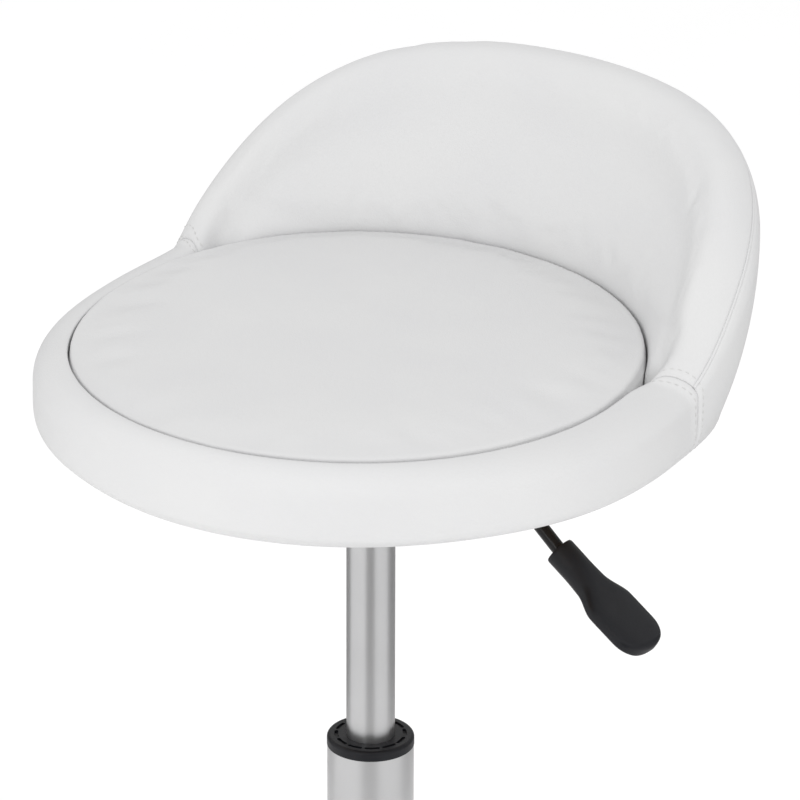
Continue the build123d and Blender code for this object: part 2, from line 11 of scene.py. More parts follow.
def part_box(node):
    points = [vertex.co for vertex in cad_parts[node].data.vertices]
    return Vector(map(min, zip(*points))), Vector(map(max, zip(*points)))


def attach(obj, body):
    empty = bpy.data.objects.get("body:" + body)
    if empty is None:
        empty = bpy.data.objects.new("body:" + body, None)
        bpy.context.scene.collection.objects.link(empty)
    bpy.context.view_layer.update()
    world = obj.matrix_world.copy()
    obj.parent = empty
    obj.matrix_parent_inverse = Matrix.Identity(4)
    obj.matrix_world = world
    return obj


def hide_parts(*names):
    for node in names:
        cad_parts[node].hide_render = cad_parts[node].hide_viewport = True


# A rolling stylist stool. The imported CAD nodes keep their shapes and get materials, and the
# upholstery and the lever's grip are rebuilt here over the nodes that they stand for.
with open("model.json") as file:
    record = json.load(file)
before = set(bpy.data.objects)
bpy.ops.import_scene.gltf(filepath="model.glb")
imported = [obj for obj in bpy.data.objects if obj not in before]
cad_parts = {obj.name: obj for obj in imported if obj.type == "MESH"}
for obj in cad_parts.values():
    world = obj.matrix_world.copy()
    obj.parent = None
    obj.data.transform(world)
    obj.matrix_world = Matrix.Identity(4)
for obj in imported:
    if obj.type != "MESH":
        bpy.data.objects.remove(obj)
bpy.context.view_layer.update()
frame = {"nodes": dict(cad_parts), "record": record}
nodes = frame["nodes"]
MM = 0.001

# ---------------------------------------------------------------- seat dimensions, millimetres
# Angles run in degrees from the middle of the back, and are negative on the left.
# Heights in the wall's section are measured from RIM_HEIGHT.
SEAT_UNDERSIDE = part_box("seat_board")[0].z / MM
SEAT_CENTRE_Y = (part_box("seat_board")[0].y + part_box("seat_board")[1].y) / 2 / MM
PAD_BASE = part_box("pad_board")[0].z / MM
RIM_DEPTH = 46.0
RIM_HEIGHT = SEAT_UNDERSIDE + RIM_DEPTH
WELL_RADIUS = 165.3
BACK_HEIGHT = 100.8
BACK_FLARE = 40.0
BACK_FLARE_POWER = 1.24
BACK_HALF_ANGLE = 71.3
BACK_BASE_THICKNESS = 45.0
CREST_THICKNESS = 38.5
CREST_SQUARENESS = 3.18
CREST_EASING = 1.29
CREST_FULLNESS = 1.008
CREST_TILT = 0.008
SEAM_ANGLE = 69.5
SEAM_RIM_WIDTH = 36.0
FRONT_RIM_WIDTH = 12.5
RIM_TAPER = 1.9
FRONT_CROWN = 3.0
SADDLE_ANGLE = 67.0
SADDLE_SPREAD = 6.5
SADDLE_SETBACK = 13.0
SADDLE_ROUNDING = 11.0
INNER_EDGE_RADIUS = 1.8
INNER_CREST_ROUNDING = 42.0
FRONT_ROUNDING = 24.0
SEAM_ROUNDING = 12.0
BACK_ROUNDING = 26.0
UPRIGHT_TOP = -3.0
UPRIGHT_FALL = 7.0
PAD_GAP = 0.4
PAD_EDGE_RADIUS = 1.1
PAD_EDGE_RISE = 2.2
PAD_FOOT_RADIUS = 1.5
PAD_CROWN = 9.0

# Unevenness of the hand-made upholstery: (size at the middle, angle of the middle, spread).
# Sizes are in millimetres, and LEFT_BACK_STRETCH is a share of the angle.
LEFT_INSET = (-7.0, -112, 48)
LEFT_BACK_STRETCH = (0.008, -60, 40)
LEFT_SAG = (-3.6, -94, 34)
LEFT_NARROW_RIM = (-10.0, -91, 26)
LEFT_FRONT_WIDE_RIM = (4.2, -142, 26)
RIGHT_NARROW_RIM = (-5.0, 82, 18)
RIGHT_THIN_BACK = (-0.8, 50, 30)
LEFT_TIGHT_EDGE = (-1.3, -120, 50)
LEFT_SOFT_CORNER = (8.0, -82, 20)
RIGHT_WIDE_GAP = (1.2, 118, 45)
LEFT_CLOSED_GAP = (-0.35, -128, 42)
RIGHT_ROUND_PAD = (1.0, 118, 45)
LEFT_TIGHT_PAD = (-0.7, -128, 42)
LEFT_LOW_PAD = (-2.4, -105, 45)
FRONT_HIGH_PAD = (1.4, 160, 50)
BACK_LOW_PAD = (-1.5, 0, 55)


# ---------------------------------------------------------------- small helpers

def smooth_step(value):
    """Rises smoothly from 0 to 1 as the value does."""
    t = np.clip(value, 0.0, 1.0)
    return t * t * (3 - 2 * t)


def passed(place, stretch):
    """How far a place is through a (start, end) stretch, easing from 0 to 1."""
    start, end = stretch
    return float(smooth_step((place - start) / (end - start)))


def uneven(angle, bump):
    """Size at an angle of a (size, middle, spread) bump, which fades around its middle."""
    size, middle, spread = bump
    away = (angle - middle + 180) % 360 - 180
    return size * math.exp(-(away / spread) ** 2)


def add_mesh(name, vertices, faces, material, smooth=True):
    mesh = bpy.data.meshes.new(name)
    mesh.from_pydata([tuple(v) for v in vertices], [], [tuple(f) for f in faces])
    mesh.validate()
    obj = bpy.data.objects.new(name, mesh)
    bpy.context.scene.collection.objects.link(obj)
    mesh.materials.append(material)
    if smooth:
        mesh.shade_smooth()
    return obj


def add_solid(name, vertices, faces, material):
    """A closed mesh whose faces all look outward."""
    obj = add_mesh(name, vertices, faces, material)
    work = bmesh.new()
    work.from_mesh(obj.data)
    bmesh.ops.recalc_face_normals(work, faces=work.faces)
    work.to_mesh(obj.data)
    work.free()
    return obj


def grid_faces(rows, columns, closed_columns=False, start=0):
    """Quads over a grid of vertices stored row by row."""
    faces = []
    last = columns if closed_columns else columns - 1
    for r in range(rows - 1):
        for c in range(last):
            d = (c + 1) % columns
            faces.append((start + r * columns + c, start + r * columns + d,
                          start + (r + 1) * columns + d, start + (r + 1) * columns + c))
    return faces


def capped_faces(loops, size, start=0):
    """Faces over closed loops of vertices stored one after another, with a cap at each end."""
    faces = grid_faces(loops, size, closed_columns=True, start=start)
    end = start + (loops - 1) * size
    faces.append(tuple(range(start, start + size)))
    faces.append(tuple(reversed(range(end, end + size))))
    return faces


def near_points(points):
    """A search tree over points."""
    tree = KDTree(len(points))
    for index, point in enumerate(points):
        tree.insert(point, index)
    tree.balance()
    return tree


# ---------------------------------------------------------------- materials

def new_material(name):
    """A node material, with its node tree and its Principled shader."""
    material = bpy.data.materials.new(name)
    material.use_nodes = True
    tree = material.node_tree
    return material, tree, tree.nodes["Principled BSDF"]


def add_node(tree, kind, **settings):
    """A shader node with values set on its sockets or, where it has no such socket, on the node."""
    node = tree.nodes.new(kind)
    for key, value in settings.items():
        if key in node.inputs:
            node.inputs[key].default_value = value
        else:
            setattr(node, key, value)
    return node


def object_coordinates(tree, stretch=(1, 1, 1)):
    source = add_node(tree, "ShaderNodeTexCoord")
    mapping = add_node(tree, "ShaderNodeMapping", Scale=stretch)
    tree.links.new(source.outputs["Object"], mapping.inputs["Vector"])
    return mapping.outputs["Vector"]


def colour_ramp(tree, factor, stops):
    """Colour that a factor picks between two (place, colour) stops."""
    ramp = add_node(tree, "ShaderNodeValToRGB")
    for element, (place, colour) in zip(ramp.color_ramp.elements, stops):
        element.position = place
        element.color = (*colour, 1.0)
    tree.links.new(factor, ramp.inputs["Fac"])
    return ramp.outputs["Color"]


def bump_chain(tree, shader, layers):
    """Adds bump layers, each (height output, strength, distance in metres)."""
    previous = None
    for height, strength, distance in layers:
        bump = add_node(tree, "ShaderNodeBump", Strength=strength, Distance=distance)
        tree.links.new(height, bump.inputs["Height"])
        if previous:
            tree.links.new(previous, bump.inputs["Normal"])
        previous = bump.outputs["Normal"]
    tree.links.new(previous, shader.inputs["Normal"])


def roughness_range(tree, shader, factor, low, high):
    spread = add_node(tree, "ShaderNodeMapRange")
    spread.inputs["To Min"].default_value = low
    spread.inputs["To Max"].default_value = high
    tree.links.new(factor, spread.inputs["Value"])
    tree.links.new(spread.outputs["Result"], shader.inputs["Roughness"])


def faux_leather():
    """Soft white leatherette: pebbled grain of under a millimetre, faint mottling."""
    material, tree, shader = new_material("white_faux_leather")
    where = object_coordinates(tree)
    mottle = add_node(tree, "ShaderNodeTexNoise", Scale=14.0, Detail=4.0)
    pebble = add_node(tree, "ShaderNodeTexVoronoi", Scale=1150.0)
    fold = add_node(tree, "ShaderNodeTexNoise", Scale=420.0, Detail=5.0, Roughness=0.6)
    for texture in (mottle, pebble, fold):
        tree.links.new(where, texture.inputs["Vector"])
    stops = [(0.3, (0.665, 0.665, 0.67)), (0.7, (0.685, 0.685, 0.685))]
    tree.links.new(colour_ramp(tree, mottle.outputs["Fac"], stops), shader.inputs["Base Color"])
    roughness_range(tree, shader, fold.outputs["Fac"], 0.40, 0.56)
    shader.inputs["Specular IOR Level"].default_value = 0.42
    bump_chain(tree, shader, [
        (pebble.outputs["Distance"], 0.16, 0.0004),
        (fold.outputs["Fac"], 0.22, 0.0005),
        (mottle.outputs["Fac"], 0.10, 0.002),
    ])
    return material


def satin_metal(name, light, dark, rough, along=(1, 1, 0.02)):
    """Brushed metal: fine streaks along the axis that is scaled down, faint cloudy wear."""
    material, tree, shader = new_material(name)
    streaks = add_node(tree, "ShaderNodeTexNoise", Scale=900.0, Detail=3.0)
    clouds = add_node(tree, "ShaderNodeTexNoise", Scale=18.0, Detail=4.0)
    tree.links.new(object_coordinates(tree, along), streaks.inputs["Vector"])
    tree.links.new(object_coordinates(tree), clouds.inputs["Vector"])
    colour = colour_ramp(tree, clouds.outputs["Fac"], [(0.3, dark), (0.7, light)])
    tree.links.new(colour, shader.inputs["Base Color"])
    roughness_range(tree, shader, streaks.outputs["Fac"], rough - 0.02, rough + 0.04)
    shader.inputs["Metallic"].default_value = 1.0
    bump_chain(tree, shader, [(streaks.outputs["Fac"], 0.05, 0.0002)])
    return material


def moulded_plastic(name, light, dark, rough, grain=900.0, strength=0.25):
    """Moulded plastic with a fine spark-eroded grain and slightly uneven gloss."""
    material, tree, shader = new_material(name)
    where = object_coordinates(tree)
    texture = add_node(tree, "ShaderNodeTexNoise", Scale=grain, Detail=3.0)
    patches = add_node(tree, "ShaderNodeTexNoise", Scale=35.0, Detail=4.0)
    for noise_node in (texture, patches):
        tree.links.new(where, noise_node.inputs["Vector"])
    colour = colour_ramp(tree, patches.outputs["Fac"], [(0.3, dark), (0.75, light)])
    tree.links.new(colour, shader.inputs["Base Color"])
    shader.inputs["Specular IOR Level"].default_value = 0.22
    roughness_range(tree, shader, patches.outputs["Fac"], rough - 0.06, rough + 0.1)
    bump_chain(tree, shader, [(texture.outputs["Fac"], strength, 0.0003)])
    return material


def plywood():
    """Birch plywood: long face grain, and glue lines seen as thin layers on the cut edge."""
    material, tree, shader = new_material("birch_plywood")
    grain = add_node(tree, "ShaderNodeTexNoise", Scale=60.0, Detail=6.0, Distortion=0.6)
    tree.links.new(object_coordinates(tree, (1, 0.08, 1)), grain.inputs["Vector"])
    layers = add_node(tree, "ShaderNodeTexWave", Scale=120.0, Distortion=0.4, bands_direction="Z")
    tree.links.new(object_coordinates(tree), layers.inputs["Vector"])
    face_stops = [(0.35, (0.42, 0.27, 0.14)), (0.7, (0.66, 0.49, 0.30))]
    edge_stops = [(0.25, (0.30, 0.18, 0.09)), (0.6, (0.64, 0.47, 0.29))]
    face = colour_ramp(tree, grain.outputs["Fac"], face_stops)
    edge = colour_ramp(tree, layers.outputs["Fac"], edge_stops)
    normal = add_node(tree, "ShaderNodeNewGeometry")
    split = add_node(tree, "ShaderNodeSeparateXYZ")
    tree.links.new(normal.outputs["Normal"], split.inputs["Vector"])
    flat = add_node(tree, "ShaderNodeMath", operation="ABSOLUTE")
    tree.links.new(split.outputs["Z"], flat.inputs[0])
    mix = add_node(tree, "ShaderNodeMix", data_type="RGBA")
    tree.links.new(flat.outputs[0], mix.inputs["Factor"])
    tree.links.new(edge, mix.inputs["A"])
    tree.links.new(face, mix.inputs["B"])
    tree.links.new(mix.outputs["Result"], shader.inputs["Base Color"])
    roughness_range(tree, shader, grain.outputs["Fac"], 0.55, 0.75)
    bump_chain(tree, shader, [(grain.outputs["Fac"], 0.2, 0.0004)])
    return material


LEATHER = faux_leather()
SATIN = satin_metal("satin_silver", (0.55, 0.55, 0.555), (0.51, 0.51, 0.515), 0.32)
ZINC = satin_metal("zinc_plated_steel", (0.58, 0.60, 0.62), (0.46, 0.47, 0.50), 0.3, (1, 1, 1))
BLACK_PLASTIC = moulded_plastic("black_moulded_plastic", (0.011, 0.0115, 0.014), (0.007, 0.0075, 0.010),
                                0.40)
NYLON = moulded_plastic("black_wheel_nylon", (0.034, 0.034, 0.036), (0.020, 0.020, 0.021), 0.42, 500.0)
RUBBER = moulded_plastic("black_rubber", (0.025, 0.025, 0.025), (0.018, 0.018, 0.018), 0.7)
BLACK_PAINT = moulded_plastic("black_gloss_paint", (0.012, 0.012, 0.013), (0.008, 0.008, 0.009),
                              0.16, 300.0, 0.06)
PLYWOOD = plywood()
THREAD = moulded_plastic("white_thread", (0.68, 0.68, 0.67), (0.60, 0.60, 0.59), 0.7, 2500.0, 0.5)

NODE_MATERIALS = {
    "satin_steel": SATIN,
    "zinc_steel": ZINC,
    "black_plastic": BLACK_PLASTIC,
    "wheel_nylon": NYLON,
    "black_rubber": RUBBER,
    "black_paint": BLACK_PAINT,
    "plywood": PLYWOOD,
    "white_cover": LEATHER,
    "foam": LEATHER,
}


def dress_cad_nodes():
    """Gives every CAD node the material of its slot."""
    for part in frame["record"]["subparts"]:
        slots = nodes[part["node"]].data.materials
        slots.clear()
        slots.append(NODE_MATERIALS[part["material_slot"]])


# ---------------------------------------------------------------- shape of the rim and the back

ARC = 0.5523  # handle length that makes a cubic curve follow a quarter circle
SECTION_STEPS = 24
SEAM_SHARE = 0.64
SHOULDER_SHARE = 0.72
SHOULDER_SWEEP = 1.4
BACK_FADE = (-5.0, 21.0)  # degrees inside the back's half angle over which its foot thickens
SLIM_WIDTH = 20.0
# Places across the foot, as shares of its width, for a slim rim and for the full back.
HEEL_PLACE = (0.15, 0.70)
TUCK_PLACE = (0.62, 0.86)
CORNER_PLACE = (0.84, 0.94)
HEEL_MARGIN = 3.0
TUCK_HEIGHT = 1.6
CORNER_HEIGHT = 5.2


def bezier(p0, p1, p2, p3, count):
    """Points on a cubic curve, without its last point."""
    t = np.linspace(0, 1, count, endpoint=False)[:, None]
    p0, p1, p2, p3 = (np.array(p, float) for p in (p0, p1, p2, p3))
    return (1 - t) ** 3 * p0 + 3 * (1 - t) ** 2 * t * p1 + 3 * (1 - t) * t ** 2 * p2 + t ** 3 * p3


def wall_form(angle):
    """Guide sizes of the padded wall's section at an angle.

    They are the crest's height, how far the wall leans out, its width at the foot and at its
    widest, the crest's place over the inner face, the height of the inner and of the outer
    rounding, and where the upright part of the inner face ends.
    """
    a = abs((angle + 180) % 360 - 180) * (1 + uneven(angle, LEFT_BACK_STRETCH))
    rise = (1 - min(a / BACK_HALF_ANGLE, 1.0) ** CREST_SQUARENESS) ** CREST_EASING
    upright = math.sqrt(rise)
    toward_seam = passed(a, (180, BACK_HALF_ANGLE))
    into_back = passed(BACK_HALF_ANGLE - a, BACK_FADE)
    crown = FRONT_CROWN * (1 - toward_seam) + uneven(angle, LEFT_SAG)
    higher_right = CREST_FULLNESS + CREST_TILT * math.sin(math.radians(angle))
    crest = crown + (BACK_HEIGHT - crown) * rise * higher_right
    lean = BACK_FLARE * (max(crest, 0.0) / BACK_HEIGHT) ** BACK_FLARE_POWER
    low_width = FRONT_RIM_WIDTH + (SEAM_RIM_WIDTH - FRONT_RIM_WIDTH) * toward_seam ** RIM_TAPER
    low_width += (BACK_BASE_THICKNESS - SEAM_RIM_WIDTH) * into_back + uneven(angle, LEFT_NARROW_RIM)
    low_width += uneven(angle, LEFT_FRONT_WIDE_RIM) + uneven(angle, RIGHT_NARROW_RIM)
    thickness = low_width + (CREST_THICKNESS - low_width) * upright + uneven(angle, RIGHT_THIN_BACK)
    saddle = math.exp(-((a - SADDLE_ANGLE) / SADDLE_SPREAD) ** 2)
    tight = INNER_EDGE_RADIUS + uneven(angle, LEFT_TIGHT_EDGE)
    crest_in = tight + (0.5 * CREST_THICKNESS - tight) * upright + SADDLE_SETBACK * saddle
    round_in = tight + INNER_CREST_ROUNDING * upright + SADDLE_ROUNDING * saddle
    round_out = FRONT_ROUNDING + (SEAM_ROUNDING - FRONT_ROUNDING) * toward_seam
    round_out += (BACK_ROUNDING - SEAM_ROUNDING) * rise + uneven(angle, LEFT_SOFT_CORNER)
    line_end = UPRIGHT_TOP - UPRIGHT_FALL * (1 - rise) ** 2
    return crest, lean, low_width, thickness, crest_in, round_in, round_out, line_end


def section_sides(angle):
    """The wall's section as two lines of (radius, height).

    The first runs from the foot up the inner face and over the crest to the sewn ridge, and
    the second from there down the outer face and back under the foot.
    """
    crest, lean, low_width, thickness, crest_in, round_in, round_out, line_end = wall_form(angle)
    low = -RIM_DEPTH
    well = WELL_RADIUS + uneven(angle, LEFT_INSET)
    top = well + lean + crest_in
    widest = well + lean + thickness
    in_z, out_z = crest - round_in, crest - round_out
    line_end = min(line_end, in_z - 4)
    lean_in = lean * SHOULDER_SHARE
    shoulder = well + lean_in
    slope = np.array([lean_in * SHOULDER_SWEEP, in_z - line_end])
    slope = slope / np.hypot(*slope)
    reach = (in_z - line_end) / 3
    bend = round_in * 0.5
    n = SECTION_STEPS
    inner = [
        bezier((well, low), (well, low + 8), (well, line_end - 8), (well, line_end), n),
        bezier((well, line_end), (well, line_end + reach),
               (shoulder - slope[0] * reach, in_z - slope[1] * reach), (shoulder, in_z), n),
        bezier((shoulder, in_z), (shoulder + slope[0] * bend, in_z + slope[1] * bend),
               (top - (top - shoulder) * ARC, crest), (top, crest), n),
    ]
    over = bezier((top, crest), (top + (widest - top) * ARC, crest),
                  (widest, out_z + round_out * ARC), (widest, out_z), n)
    seam_row = int(n * SEAM_SHARE)
    inner.append(over[:seam_row + 1])

    drop = out_z - low
    fullness = passed(low_width, (SLIM_WIDTH, BACK_BASE_THICKNESS))
    heel, tuck_in, corner_in = (well + low_width * (slim + (full - slim) * fullness)
                                for slim, full in (HEEL_PLACE, TUCK_PLACE, CORNER_PLACE))
    heel += HEEL_MARGIN
    tuck = (tuck_in, low + TUCK_HEIGHT)
    corner = (corner_in, low + CORNER_HEIGHT)
    outer = [
        over[seam_row:],
        bezier((widest, out_z), (widest, out_z - drop * 0.5),
               (well + low_width * 1.06, low + drop * 0.32), corner, 2 * n),
        bezier(corner, tuck, (heel + 1.5, low), (heel, low), n // 2),
        bezier((heel, low), (heel - 1, low), (well + 2, low), (well, low), n),
        np.array([[well, low]]),
    ]
    return np.vstack(inner), np.vstack(outer)


def inner_line(inner, outer):
    return inner


def outer_line(inner, outer):
    return outer


def whole_line(inner, outer):
    return np.vstack([inner, outer[1:]])


def read_along(along, values, distances):
    """Values given at places along a line, read at other distances along it."""
    return np.stack([np.interp(distances, along, column) for column in values.T], 1)


def resample(line, fractions):
    """Points at fractions of the length of a flat polyline."""
    step = np.hypot(*np.diff(line, axis=0).T)
    along = np.concatenate([[0], np.cumsum(step)])
    return read_along(along / along[-1], line, fractions)


def edge_dense(first, last, count, margin, rows):
    """Values from first to last, evenly spaced, with extra ones close to both ends."""
    span = last - first
    ends = [margin * i / rows for i in range(rows)]
    middle = np.linspace(margin, span - margin, count)
    return first + np.concatenate([ends, middle, span - np.array(ends[::-1])])


def to_space(angle, line):
    """Puts (radius, height) millimetre points at an angle from the back, in metres."""
    a = math.radians(angle)
    x = line[:, 0] * math.sin(a)
    y = SEAT_CENTRE_Y + line[:, 0] * math.cos(a)
    return np.stack([x, y, RIM_HEIGHT + line[:, 1]], 1) * MM


def wall_grid(angles, pick, rows):
    """Grid of cover points (angle by row); pick chooses the line of each section."""
    return np.array([to_space(a, resample(pick(*section_sides(a)), rows)) for a in angles])


# ---------------------------------------------------------------- covers

SEAM_DEPTH = 0.9 * MM
SEAM_WIDTH = 1.5 * MM
SEAM_HOLD = 6.0 * MM
CHORD_ROWS = 30


def grid_normals(points):
    """Outward unit normals of a grid of points (columns by rows by 3)."""
    across = np.gradient(points, axis=0)
    along = np.gradient(points, axis=1)
    normal = np.cross(across, along)
    length = np.linalg.norm(normal, axis=2, keepdims=True)
    return normal / np.maximum(length, 1e-12)


def distance_to_seams(points, seams):
    """Distance over the surface from each grid point to the sewn edges of its grid, in metres."""
    far = np.full(points.shape[:2], 1.0)
    for axis, first, last in ((0, "first_angle", "last_angle"), (1, "first_row", "last_row")):
        step = np.linalg.norm(np.diff(points, axis=axis), axis=2)
        edge = np.zeros_like(far.take([0], axis))
        if first in seams:
            far = np.minimum(far, np.concatenate([edge, np.cumsum(step, axis)], axis))
        if last in seams:
            back = np.flip(np.cumsum(np.flip(step, axis), axis), axis)
            far = np.minimum(far, np.concatenate([back, edge], axis))
    return far


class Puff:
    """How far a cloth simulation moved a padded form, looked up by place."""

    def __init__(self, share):
        self.share = share
        self.tree = None
        self.moves = None

    def learn(self, before, after):
        self.moves = (after - before) * self.share
        self.tree = near_points(before)

    def at(self, point):
        total = np.zeros(3)
        if not self.tree:
            return total
        weights = 0.0
        for _, index, distance in self.tree.find_n(point, 6):
            weight = 1.0 / (distance + MM) ** 2
            total += weight * self.moves[index]
            weights += weight
        return total / weights


def shaped_grid(points, seams, puff):
    """Puffs a cover's grid and tucks it in along its seams."""
    normals = grid_normals(points)
    gap = distance_to_seams(points, seams)
    shaped = points.copy()
    for i in range(points.shape[0]):
        for j in range(points.shape[1]):
            shaped[i, j] += puff.at(points[i, j]) * smooth_step(gap[i, j] / SEAM_HOLD)
    tuck = SEAM_DEPTH * np.exp(-(gap / SEAM_WIDTH) ** 2)
    return shaped - normals * tuck[..., None]


def solid_of_loops(name, grid):
    """A closed solid from closed section loops, capped at both ends."""
    columns, rows, _ = grid.shape
    return add_solid(name, grid.reshape(-1, 3), capped_faces(columns, rows), LEATHER)


def closed_strip(name, grid):
    """A closed solid with the grid as its skin: chords close its sections, and caps its ends."""
    shares = (np.arange(1, CHORD_ROWS + 1) / (CHORD_ROWS + 1))[:, None]
    chords = grid[:, -1, None] * (1 - shares) + grid[:, 0, None] * shares
    return solid_of_loops(name, np.concatenate([grid, chords], 1))


# ---------------------------------------------------------------- seam and stitch lines

STITCH_LENGTH = 3.0 * MM
STITCH_PITCH = 4.5 * MM
STITCH_RADIUS = 0.26 * MM
STITCH_OFFSET = 3.2
STITCH_SIDES = 6
STITCH_SHARES = np.linspace(0, 1, 6)
RIDGE_RADIUS = 0.9 * MM
RIDGE_LIFT = 0.2 * MM
RIDGE_SIDES = 10
RIDGE_FLATNESS = 0.8


def ring(centre, side, up, radius, sides, flatten=1.0):
    """Points around a centre, on a circle that may be flattened along up."""
    turns = [2 * math.pi * k / sides for k in range(sides)]
    return [centre + radius * (math.cos(turn) * side + flatten * math.sin(turn) * up) for turn in turns]


def sideways(way, up):
    """Unit vector square to a way and an up direction."""
    side = np.cross(way / np.linalg.norm(way), up)
    return side / np.linalg.norm(side)


def add_ridge(name, points, normals):
    """The ridge along which two panels are sewn together: a flattened closed tube."""
    vertices = []
    for point, way, normal in zip(points, np.gradient(points, axis=0), normals):
        side = sideways(way, normal)
        up = np.cross(side, way / np.linalg.norm(way))
        vertices += ring(point, side, up, RIDGE_RADIUS, RIDGE_SIDES, RIDGE_FLATNESS)
    return add_solid(name, vertices, capped_faces(len(points), RIDGE_SIDES), LEATHER)


def stitch_row(name, points, normals):
    """A row of short raised threads that dip into the cover at both ends."""
    step = np.linalg.norm(np.diff(points, axis=0), axis=1)
    along = np.concatenate([[0], np.cumsum(step)])
    arch = np.sin(math.pi * STITCH_SHARES)
    rise = (arch * 0.55 - 0.25) * STITCH_RADIUS * 2
    radii = STITCH_RADIUS * (0.55 + 0.45 * arch)
    vertices, faces = [], []
    for number in range(int(along[-1] / STITCH_PITCH)):
        spots = (number + 0.3) * STITCH_PITCH + STITCH_SHARES * STITCH_LENGTH
        if spots[-1] > along[-1]:
            break
        ups = read_along(along, normals, spots)
        ups /= np.linalg.norm(ups, axis=1)[:, None]
        line = read_along(along, points, spots) + ups * rise[:, None]
        faces += capped_faces(len(line), STITCH_SIDES, start=len(vertices))
        for point, way, up, radius in zip(line, np.gradient(line, axis=0), ups, radii):
            vertices += ring(point, sideways(way, up), up, radius, STITCH_SIDES)
    return add_solid(name, vertices, faces, THREAD)


def stitch_line(hand, side):
    """A line over the cover beside an upright seam.

    The seam is the right one (hand 1) or the left one (hand -1), and the line is on the seam's
    back (side 1) or front (side -1).
    """
    line = []
    for share in np.linspace(0.05, 0.93, 200):
        radius = resample(whole_line(*section_sides(SEAM_ANGLE)), [share])[0, 0]
        angle = SEAM_ANGLE - side * math.degrees(STITCH_OFFSET / radius)
        spot = resample(whole_line(*section_sides(angle)), [share])
        line.append(to_space(hand * angle, spot)[0])
    return np.array(line)


def laid_on_covers(line, grids):
    """Moves a line onto the nearest of the covers' grids and gives the covers' normals along it."""
    points = np.vstack([grid.reshape(-1, 3) for grid in grids])
    normals = np.vstack([grid_normals(grid).reshape(-1, 3) for grid in grids])
    tree = near_points(points)
    spots, ups = [], []
    for point in line:
        nearest = [index for _, index, _ in tree.find_n(point, 5)]
        up = normals[nearest].mean(0)
        up /= np.linalg.norm(up)
        spots.append(point + up * np.dot(points[nearest].mean(0) - point, up))
        ups.append(up)
    return np.array(spots), np.array(ups)


# ---------------------------------------------------------------- cloth simulation

CLOTH_FRAMES = 20
VOXEL = 5.0 * MM
FORM_COLUMNS = 120
FORM_ROWS = 90
HELD_FOOT = 12.0 * MM
HELD_SEAM_FADE = 14.0 * MM
HELD_PAD_SIDE = 10.0 * MM
PAD_CAP, PAD_SHARE = 2.5 * MM, 0.7
BACK_CAP, BACK_SHARE = 3.0 * MM, 0.6
RIM_CAP, RIM_SHARE = 1.5 * MM, 0.8
CLOTH_SETTINGS = {
    "quality": 5,
    "mass": 0.3,
    "tension_stiffness": 15,
    "compression_stiffness": 15,
    "shear_stiffness": 5,
    "bending_stiffness": 0.5,
    "use_pressure": True,
    "uniform_pressure_force": 4.0,
    "vertex_group_mass": "pinned",
}


def simulate_padding(form, pin_share, cap):
    """Inflates a padded form as cloth and deletes it.

    Returns its points before and after in metres, with no move longer than the cap.
    """
    scene = bpy.context.scene
    remesh = form.modifiers.new("remesh", "REMESH")
    remesh.mode = "VOXEL"
    remesh.voxel_size = VOXEL
    graph = bpy.context.evaluated_depsgraph_get()
    mesh = bpy.data.meshes.new_from_object(form.evaluated_get(graph))
    form.modifiers.clear()
    form.data = mesh
    before = np.array([v.co for v in mesh.vertices])
    group = form.vertex_groups.new(name="pinned")
    for index, point in enumerate(before):
        group.add([index], pin_share(point), "REPLACE")
    cloth = form.modifiers.new("cloth", "CLOTH")
    for key, value in CLOTH_SETTINGS.items():
        setattr(cloth.settings, key, value)
    cloth.settings.effector_weights.gravity = 0.0
    cloth.point_cache.frame_start = 1
    cloth.point_cache.frame_end = CLOTH_FRAMES
    for number in range(1, CLOTH_FRAMES + 1):
        scene.frame_set(number)
    moved = form.evaluated_get(bpy.context.evaluated_depsgraph_get())
    after = np.array([v.co for v in moved.to_mesh().vertices])
    moved.to_mesh_clear()
    bpy.data.objects.remove(form)
    scene.frame_set(1)
    move = after - before
    length = np.linalg.norm(move, axis=1, keepdims=True)
    move *= np.minimum(1.0, cap / np.maximum(length, 1e-9))
    return before, before + move


def simulate_wall(first, last, cap):
    """Simulates the padding between two angles, held along the seams, at the foot and in the well."""
    angles = np.linspace(first, last, FORM_COLUMNS)
    form = solid_of_loops("form", wall_grid(angles, whole_line, np.linspace(0, 1, FORM_ROWS)[:-1]))
    seam_tree = near_points(wall_grid(angles, inner_line, [1.0])[:, 0])

    def pin_share(point):
        x, y = point[0], point[1] - SEAT_CENTRE_Y * MM
        radius = math.hypot(x, y)
        angle = math.degrees(math.atan2(x, y)) % 360
        if angle > last + 90:
            angle -= 360
        if point[2] < (RIM_HEIGHT - 8) * MM and radius < (WELL_RADIUS + 4) * MM:
            return 1.0
        to_end = min(abs(angle - first), abs(last - angle)) * math.radians(1) * radius
        to_foot = point[2] - SEAT_UNDERSIDE * MM - HELD_FOOT
        to_seam = seam_tree.find(point)[2]
        return float(1 - smooth_step(min(to_end, to_foot, to_seam) / HELD_SEAM_FADE))

    return simulate_padding(form, pin_share, cap)


def simulate_pad(cap):
    """Simulates the seat pad, held below its edge."""

    def pin_share(point):
        return float(1 - smooth_step((point[2] - RIM_HEIGHT * MM + HELD_PAD_SIDE) / HELD_PAD_SIDE))

    return simulate_padding(build_pad(Puff(0.0)), pin_share, cap)


# ---------------------------------------------------------------- upholstery

BACK_COLUMNS = 260
RIM_COLUMNS = 300
PAD_COLUMNS = 180
INNER_ROWS = 84
OUTER_ROWS = 66
FULL_ROWS = 120
END_COLUMNS = 5
END_ROWS = 8
END_ANGLE = 1.2
END_SHARE = 0.03


